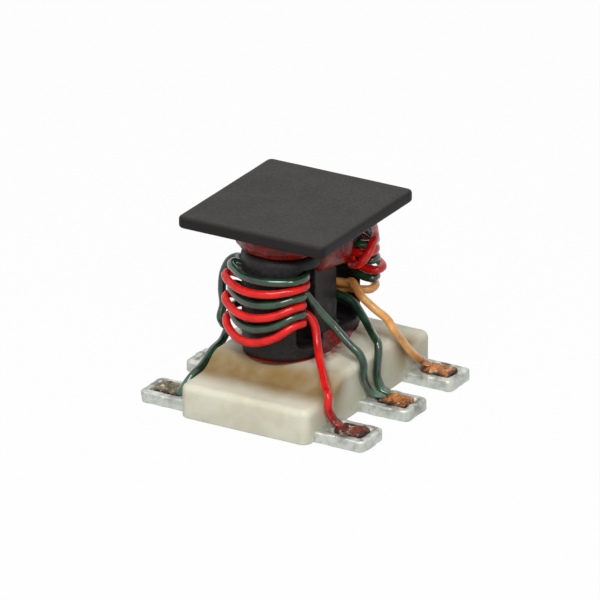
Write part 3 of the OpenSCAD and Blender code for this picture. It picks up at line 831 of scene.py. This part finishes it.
def passage(leg, column, z_right, z_left, reach=CORE_R):
    """Straight run through a window from its right mouth to its left mouth."""
    runs = (reach, reach * MOUTH_SHARE, 0, -CORE_R * MOUTH_SHARE, -CORE_R)
    return [(CORE_X + run, column_y(leg, column), mix(z_left, z_right, (run + CORE_R) / (reach + CORE_R)))
            for run in runs]


def turn_points(leg, r_from, r_to, z_from, z_mid, z_to, angles=ARC_ANGLES):
    """Loose outer run of a turn round a leg from the left mouth to the right mouth."""
    dip = z_mid - (z_from + z_to) / 2
    points = []
    for a in angles:
        share = (a - angles[0]) / (angles[-1] - angles[0])
        r = mix(r_from, r_to, share)
        points.append((CORE_X - r * cos(radians(a)), LEG_Y[leg] + leg * r * sin(radians(a)),
                       mix(z_from, z_to, share) + dip * sin(pi * share)))
    return points


def front_turn(turn, r=TURN_R):
    return turn_points(FRONT, r, SNUG_R, left_z(turn), front_z(turn), right_z(turn), SNUG_ANGLES)


def back_turn(turn, r=TURN_R):
    return turn_points(BACK, r, r, back_z(turn), back_z(turn) - BACK_DIP, back_z(turn))


def winding(passes, turns, end_shares=BEND_SHARES):
    """Passes joined by turns, with a rounded bend at each end of a turn."""
    points = list(passes[0])
    for turn, before, after in zip(turns, passes, passes[1:]):
        points.append(between(turn[0], before[-1], BEND_SHARES))
        points += turn
        points.append(between(turn[-1], after[0], end_shares))
        points += after
    return points


def weld_end(side, row, place):
    return (side * (nugget_low.x - WIRE_GAP / 2), row * LEAD_PITCH + place * PAIR_SHARE * WIRE_D,
            LEAD_T + WIRE_R + WIRE_GAP / 2)


def right_mouth(leg, column, z):
    return (CORE_X + TAIL_REACH, column_y(leg, column), z)


def left_mouth(leg, column, z):
    return (CORE_X - CORE_R, column_y(leg, column), z)


def tail(weld, mouth, shoulder_share, climb_shares, run_shares):
    """Tail from a weld up the side of the base to its shoulder, then over to a window."""
    y = weld[1] + shoulder_share * LEAD_PITCH
    shoulder = (SIDE_X if weld[0] > 0 else -SIDE_X, y, base_top(y) + WIRE_R + WIRE_CLEARANCE)

    def along(a, b, home, s):
        return (mix(a[0], b[0], s[0]), home[1] + s[1] * LEAD_PITCH, mix(a[2], b[2], s[2]))

    return ([weld] + [along(weld, shoulder, weld, s) for s in climb_shares] + [shoulder]
            + [along(shoulder, mouth, mouth, s) for s in run_shares])


def green_front_route():
    tail_z, exit_z = right_z(2.3), left_z(0.3)
    start = tail(weld_end(RIGHT, MIDDLE, FRONT), right_mouth(FRONT, EXIT_COLUMN, tail_z), -0.21,
                 [(0.58, -0.02, 0.04), (0.95, -0.07, 0.19), (1, -0.18, 0.58)],
                 [(0.06, 0.13, 0.1), (0.2, 0.11, 0.22), (0.5, 0.08, 0.5), (0.75, 0.04, 0.74),
                  (0.89, 0.02, 0.89)])
    turns = winding(
        [passage(FRONT, EXIT_COLUMN, tail_z, left_z(4), TAIL_REACH),
         passage(FRONT, LEG_COLUMN, right_z(4), left_z(2), TAIL_REACH),
         passage(FRONT, LEG_COLUMN, right_z(2), left_z(0), TAIL_REACH),
         passage(FRONT, EXIT_COLUMN, right_z(0), exit_z, TAIL_REACH)],
        [front_turn(4, SNUG_R), front_turn(2, SNUG_R), front_turn(0, SNUG_R)], SNUG_BEND_SHARES)
    end = tail(weld_end(LEFT, FRONT, FRONT), left_mouth(FRONT, EXIT_COLUMN, exit_z), 0.85,
               [(0.2, 0.04, 0.09), (0.76, 0.18, 0.32), (1, 0.28, 0.41), (1, 0.51, 0.65), (1, 0.78, 0.8)],
               [(0.04, 0.08, 0.1), (0.04, 0.02, 0.21), (0.04, 0.08, 0.34), (-0.01, 0.08, 0.55),
                (0.06, 0.1, 0.8), (0.35, 0.11, 0.96), (0.66, 0.11, 1.01)])
    return start + turns + end[::-1]


def red_route():
    tail_z, front_exit_z, back_exit_z = right_z(4.6), left_z(1.35), back_z(1.3)
    start = tail(weld_end(RIGHT, FRONT, MIDDLE), right_mouth(FRONT, EXIT_COLUMN, tail_z), -0.05,
                 [(0.58, 0.01, 0.06), (0.95, -0.02, 0.31), (1, -0.06, 0.68)],
                 [(0.18, -0.49, 0.09), (0.39, -0.31, 0.22), (0.58, -0.16, 0.36), (0.73, -0.03, 0.57),
                  (0.82, 0.02, 0.8), (0.9, 0.02, 0.93)])
    front_turns = winding(
        [passage(FRONT, EXIT_COLUMN, tail_z, left_z(5), TAIL_REACH),
         passage(FRONT, LEG_COLUMN, right_z(5), left_z(3), TAIL_REACH),
         passage(FRONT, LEG_COLUMN, right_z(3), left_z(1), TAIL_REACH),
         passage(FRONT, EXIT_COLUMN, right_z(1), front_exit_z, TAIL_REACH)],
        [front_turn(5), front_turn(3), front_turn(1)], SNUG_BEND_SHARES)
    loop = [(CORE_X - TURN_R * cos(radians(a)), LEG_Y[BACK] + TURN_R * sin(radians(a)), TRANSIT_Z)
            for a in LOOP_ANGLES]
    front_exit = left_mouth(FRONT, EXIT_COLUMN, front_exit_z)
    transit = [between(front_exit, loop[0], s) for s in
               [(0.5, 0.19, 0.02), (1, 0.35, 0.26), (1.15, 0.6, 0.64), (1.1, 0.81, 0.91)]]
    drop_mouth = right_mouth(BACK, EXIT_COLUMN, back_z(2))
    drop = [between(loop[-1], drop_mouth, s) for s in
            [(-0.32, 0.81, 0), (-0.5, 1.71, 0.08), (-0.5, 2.43, 0.36), (-0.14, 2.66, 0.69),
             (0.36, 2.15, 0.92), (0.68, 1.86, 0.98)]]
    back_turns = winding(
        [passage(BACK, EXIT_COLUMN, back_z(2), back_z(3), TAIL_REACH),
         passage(BACK, LEG_COLUMN, back_z(3), back_z(1)),
         passage(BACK, EXIT_COLUMN, back_z(1), back_exit_z)],
        [back_turn(3, BULGE_R), back_turn(1)])
    end = tail(weld_end(LEFT, BACK, FRONT), left_mouth(BACK, EXIT_COLUMN, back_exit_z), -0.15,
               [(0.3, -0.04, 0.25)],
               [(0.01, 0.02, 0.28), (0.06, -0.08, 0.57), (0.27, -0.13, 0.83), (0.61, -0.12, 0.95)])
    return start + front_turns + transit + loop + drop + back_turns + end[::-1]


def green_back_route():
    tail_z, exit_z = right_z(5.4), back_z(0.2)
    start = tail(weld_end(RIGHT, MIDDLE, BACK), right_mouth(BACK, WEB_COLUMN, tail_z), 0,
                 [(0.58, 0, 0.04), (0.95, -0.01, 0.19), (1, -0.03, 0.58)],
                 [(0.04, -0.32, 0.17), (0.15, -0.26, 0.23), (0.33, -0.14, 0.3), (0.57, -0.05, 0.6),
                  (0.77, 0, 0.85), (0.9, 0, 0.97)])
    turns = winding(
        [passage(BACK, WEB_COLUMN, tail_z, back_z(4), TAIL_REACH),
         passage(BACK, LEG_COLUMN, back_z(4), back_z(2)),
         passage(BACK, LEG_COLUMN, back_z(2), back_z(0)),
         passage(BACK, EXIT_COLUMN, back_z(0), exit_z)],
        [back_turn(4), back_turn(2), back_turn(0)])
    end = tail(weld_end(LEFT, BACK, BACK), left_mouth(BACK, EXIT_COLUMN, exit_z), -0.05,
               [(0.11, 0, 0.26)],
               [(-0.17, 0.29, 0.26), (-0.25, 0.22, 0.5), (-0.14, 0.07, 0.76), (0.06, -0.06, 0.91),
                (0.45, -0.13, 0.98)])
    return start + turns + end[::-1]


def gold_route():
    tail_z, exit_z = right_z(4.3), back_z(6)
    start = tail(weld_end(RIGHT, BACK, MIDDLE), right_mouth(BACK, TAIL_COLUMN, tail_z), -0.46,
                 [(0.35, 0, 0.02), (0.55, -0.07, 0.12), (0.75, -0.31, 0.59)],
                 [(0.01, -0.11, 0.23), (0.1, -0.12, 0.43), (0.31, -0.18, 0.69), (0.6, -0.18, 0.96),
                  (0.75, -0.1, 1.05), (0.89, -0.02, 1.07)])
    turns = winding(
        [passage(BACK, TAIL_COLUMN, tail_z, back_z(5), TAIL_REACH),
         passage(BACK, EXIT_COLUMN, back_z(5), exit_z)],
        [back_turn(5)])
    end = tail(weld_end(LEFT, FRONT, BACK), left_mouth(BACK, EXIT_COLUMN, exit_z), 1.29,
               [(0.58, 0.1, 0.03), (0.95, 0.3, 0.06), (1, 0.69, 0.16), (1, 1.08, 0.4)],
               [(0.3, -0.18, 0.55), (0.66, -0.12, 0.9)])
    return start + turns + end[::-1]


# Wires

WIRE_VOXEL = 0.015
WIRE_UNEVEN_SHARE = 0.02
PRESS_SHARE = 0.45
PRESS_WIDEN_SHARE = 0.8
PRESS_L = 0.22
END_REACH = 0.12
END_STEPS = 4
SCORCH_L = 0.3


def curve(route, steps):
    """Smooth curve through route points, with steps points from each to the next."""
    p = [Vector(q) for q in route]
    last = len(p) - 1
    gaps = [(p[i + 1] - p[i]).length for i in range(last)]
    chords = [(p[i + 1] - p[i]) / gaps[i] for i in range(last)]
    slopes = [chords[0]]
    for i in range(1, last):
        slopes.append((chords[i - 1] * gaps[i] + chords[i] * gaps[i - 1]) / (gaps[i - 1] + gaps[i]))
    slopes.append(chords[-1])
    points = []
    for i in range(last):
        for k in range(steps):
            t = k / steps
            start = (2 * t ** 3 - 3 * t ** 2 + 1) * p[i]
            leave = (t ** 3 - 2 * t ** 2 + t) * slopes[i] * gaps[i]
            end = (3 * t ** 2 - 2 * t ** 3) * p[i + 1]
            arrive = (t ** 3 - t ** 2) * slopes[i + 1] * gaps[i]
            points.append(start + leave + end + arrive)
    return points + [p[last]]


def build_wire(node, route, material, steps=5, sides=16):
    """Wire along a route, pressed flat and scorched at its welded ends."""
    path = curve(route, steps)
    last = len(path) - 1
    headings = [(path[min(i + 1, last)] - path[max(i - 1, 0)]).normalized() for i in range(last + 1)]

    def near_end(p, length):
        return smooth(1 - min((p - path[0]).length, (p - path[-1]).length) / length)

    side = headings[0].cross(Vector((0, 0, 1))).normalized()
    centres = []
    rings = []
    for point, heading in zip(path, headings):
        side = (side - heading * side.dot(heading)).normalized()
        up = heading.cross(side)
        press = PRESS_SHARE * near_end(point, PRESS_L)
        widen = 1 + PRESS_WIDEN_SHARE * press
        centre = point - Vector((0, 0, WIRE_R * press))
        ring = []
        for j in range(sides):
            a = 2 * pi * j / sides
            r = WIRE_R * (1 + WIRE_UNEVEN_SHARE * ripple(point + side * cos(a) * 0.1, 0.2, 9))
            offset = r * (cos(a) * side + sin(a) * up)
            ring.append(centre + Vector((offset.x * widen, offset.y * widen, offset.z * (1 - press))))
        centres.append(centre)
        rings.append(ring)
    for end, heading in ((0, -headings[0]), (-1, headings[-1])):
        flat = rings[end]
        for k in range(1, END_STEPS + 1):
            a = pi / 2 * k / (END_STEPS + 0.5)
            cap = [centres[end] + (q - centres[end]) * cos(a) + heading * END_REACH * sin(a) for q in flat]
            rings = [cap] + rings if end == 0 else rings + [cap]
    mesh = modified(new_mesh(node, *loft(rings)), lambda holder: remesh(holder, WIRE_VOXEL, rounds=4))
    shade(mesh, SKIN_SMOOTH_ANGLE)
    set_attribute(mesh, "burn", lambda p: near_end(p, SCORCH_L))
    place_piece(node + "_strand", mesh, [node], material)


# Welds

WELD_EDGE_R = 0.02
WELD_LOW_EDGE_R = 0.004
WELD_INNER_R = 0.01
WELD_RINGS = 22
WELD_MIDDLE_GAP = 0.008
WELD_SINK = 0.012
WELD_EDGE_DROP = 0.006
WELD_CROWN_STEEPNESS = 2.2
WELD_RIM_STEEPNESS = 2.4


def build_weld(side, row, material):
    """Flattened, crumpled end of the wire fused into the dimple."""
    w, l = nugget_high.x - nugget_low.x, nugget_high.y - nugget_low.y
    rise = nugget_high.z - LEAD_T
    seed = 3.0 * side + row

    def outline(inset):
        return rounded_rect(WELD_X, 0, w - 2 * inset, l - 2 * inset,
                            max(l / 3 - inset, WELD_INNER_R), corner=8, along=24)

    def outward(x, y):
        """Share of the way from the weld's middle to its rim."""
        return max(abs(x - WELD_X) / (w / 2), abs(y) / (l / 2))

    def top(x, y):
        crown = smooth(WELD_CROWN_STEEPNESS * (1 - outward(x, y)))
        lumps = 0.5 + 0.35 * ripple((x, y, 0), 0.12, seed) + 0.3 * ripple((x, y, 0), 0.06, seed + 2)
        return min(LEAD_T - WELD_EDGE_DROP + rise * crown * clamp(lumps, 0.1, 1.0), nugget_high.z)

    def rim(p):
        away = outward(abs(p.x), p.y - row * LEAD_PITCH)
        return smooth(WELD_RIM_STEEPNESS * away - (WELD_RIM_STEEPNESS - 1))

    insets = [mix(WELD_EDGE_R, l / 2 - WELD_MIDDLE_GAP, i / WELD_RINGS)
              for i in range(1, WELD_RINGS + 1)]
    bottom = LEAD_T - DIMPLE_DEPTH - WELD_SINK
    points, faces = slab(outline, insets, bottom, top, WELD_EDGE_R, WELD_LOW_EDGE_R)
    points = [(side * x, y + row * LEAD_PITCH, z) for x, y, z in points]
    node = f"weld_{ROWS[row]}_{SIDES[side]}"
    mesh = new_mesh(node, points, faces)
    set_attribute(mesh, "rim", rim)
    place_piece(node + "_nugget", mesh, [node], material)


build_base()
tin = lead_material()
for lead_side in (RIGHT, LEFT):
    for lead_row in (FRONT, MIDDLE, BACK):
        build_lead(lead_side, lead_row, tin)
build_core()
red_adhesive = adhesive_material()
build_plate_adhesive(red_adhesive)
build_core_adhesive(red_adhesive)
build_plate()
red_enamel = enamel_material("Red enamel", light=srgb(226, 28, 22), dark=srgb(192, 14, 14),
                             burnt=srgb(94, 32, 22), gloss=0.25)
green_enamel = enamel_material("Green enamel", light=srgb(26, 68, 44), dark=srgb(9, 36, 23),
                               burnt=srgb(66, 104, 82), gloss=1.0)
gold_enamel = enamel_material("Gold enamel", light=srgb(246, 184, 108), dark=srgb(222, 144, 72),
                              burnt=srgb(128, 72, 40), gloss=0.5)
build_wire("red_wire", red_route(), red_enamel)
build_wire("green_front_wire", green_front_route(), green_enamel)
build_wire("green_back_wire", green_back_route(), green_enamel)
build_wire("gold_wire", gold_route(), gold_enamel)
scorched = weld_material("Scorched weld", bright=srgb(128, 60, 46), dark=srgb(70, 30, 26))
copper = weld_material("Copper weld", bright=srgb(206, 132, 66), dark=srgb(120, 66, 34))
dull = weld_material("Dull weld", bright=srgb(150, 136, 106), dark=srgb(86, 78, 62))
build_weld(RIGHT, FRONT, scorched)
build_weld(RIGHT, MIDDLE, copper)
build_weld(RIGHT, BACK, copper)
build_weld(LEFT, FRONT, dull)
build_weld(LEFT, BACK, copper)


# Stage

FLOOR_HALF_W = 400 * MM
FLOOR_Z = -0.002 * MM
FLOOR_GREY = (0.5, 0.5, 0.5, 1)
FLOOR_GLOW_SHARE = 0.975
WHITE = (1, 1, 1, 1)
WORLD_LIGHT = 0.24
LAMP_TARGET = Vector((0, 0, 1.4 * MM))
CAMERA_AZIMUTH = 30.4
CAMERA_ELEVATION = 22.8
CAMERA_TARGET = Vector((-0.1003, 0, 1.398)) * MM
IMAGE_W = 600
PIXELS_PER_MM = 69.3
SENSOR_W = 36
LENS = 600


def is_seen(nodes, links):
    """1 for rays that see or mirror the backdrop, 0 for the light that falls on the part."""
    path = nodes.new("ShaderNodeLightPath")
    total = path.outputs["Is Camera Ray"]
    for name in ("Is Glossy Ray", "Is Transmission Ray"):
        add = nodes.new("ShaderNodeMath")
        add.operation = "MAXIMUM"
        links.new(total, add.inputs[0])
        links.new(path.outputs[name], add.inputs[1])
        total = add.outputs["Value"]
    return total


def toward(azimuth, elevation):
    """Direction from the part, with azimuth 0 at its front, in degrees."""
    a, e = radians(azimuth), radians(elevation)
    return Vector((sin(a) * cos(e), -cos(a) * cos(e), sin(e)))


def build_floor():
    """Pale floor that is seen nearly white and keeps a soft shadow."""
    mesh = bpy.data.meshes.new("floor")
    corners = [(-1, -1), (1, -1), (1, 1), (-1, 1)]
    mesh.from_pydata([(x * FLOOR_HALF_W, y * FLOOR_HALF_W, FLOOR_Z) for x, y in corners], [], [(0, 1, 2, 3)])
    floor = bpy.data.objects.new("Floor", mesh)
    bpy.context.scene.collection.objects.link(floor)
    material = bpy.data.materials.new("Pale floor")
    material.use_nodes = True
    nodes, links = material.node_tree.nodes, material.node_tree.links
    body = nodes["Principled BSDF"]
    body.inputs["Base Color"].default_value = FLOOR_GREY
    body.inputs["Roughness"].default_value = 0.9
    glow = nodes.new("ShaderNodeEmission")
    glow.inputs["Strength"].default_value = 1.0
    share = nodes.new("ShaderNodeMath")
    share.operation = "MULTIPLY"
    share.inputs[1].default_value = FLOOR_GLOW_SHARE
    links.new(is_seen(nodes, links), share.inputs[0])
    blend = nodes.new("ShaderNodeMixShader")
    links.new(share.outputs["Value"], blend.inputs["Fac"])
    links.new(body.outputs["BSDF"], blend.inputs[1])
    links.new(glow.outputs["Emission"], blend.inputs[2])
    links.new(blend.outputs["Shader"], nodes["Material Output"].inputs["Surface"])
    mesh.materials.append(material)


def build_world():
    """White backdrop that lights the part only faintly."""
    world = bpy.data.worlds.new("Studio")
    bpy.context.scene.world = world
    world.use_nodes = True
    nodes, links = world.node_tree.nodes, world.node_tree.links
    strength = nodes.new("ShaderNodeMapRange")
    strength.inputs["To Min"].default_value = WORLD_LIGHT
    strength.inputs["To Max"].default_value = 1.0
    links.new(is_seen(nodes, links), strength.inputs["Value"])
    links.new(strength.outputs["Result"], nodes["Background"].inputs["Strength"])
    nodes["Background"].inputs["Color"].default_value = WHITE


def build_lamp(name, azimuth, elevation, distance, size, power):
    """Softbox that looks at the middle of the part; distances in millimetres."""
    lamp = bpy.data.lights.new(name, "AREA")
    lamp.size = size * MM
    lamp.energy = power
    holder = bpy.data.objects.new(name, lamp)
    bpy.context.scene.collection.objects.link(holder)
    direction = toward(azimuth, elevation)
    holder.location = direction * distance * MM + LAMP_TARGET
    holder.rotation_euler = direction.to_track_quat("Z", "Y").to_euler()


def build_camera():
    """Long lens from the front right, framed as the photograph is."""
    view_width = IMAGE_W / PIXELS_PER_MM
    distance = view_width * MM * LENS / SENSOR_W
    direction = toward(CAMERA_AZIMUTH, CAMERA_ELEVATION)
    data = bpy.data.cameras.new("Camera")
    data.sensor_width = SENSOR_W
    data.lens = LENS
    data.clip_start = 1 * MM
    data.clip_end = 10
    camera = bpy.data.objects.new("Camera", data)
    bpy.context.scene.collection.objects.link(camera)
    camera.location = CAMERA_TARGET + direction * distance
    camera.rotation_euler = direction.to_track_quat("Z", "Y").to_euler()
    bpy.context.scene.camera = camera


build_floor()
build_world()
build_lamp("Key", azimuth=8, elevation=52, distance=40, size=16, power=0.0105)
build_lamp("Fill", azimuth=46, elevation=34, distance=45, size=7, power=0.0055)
build_lamp("Rim", azimuth=190, elevation=60, distance=45, size=30, power=0.003)
build_camera()
bpy.context.scene.view_settings.view_transform = "Standard"

bpy.context.view_layer.update()
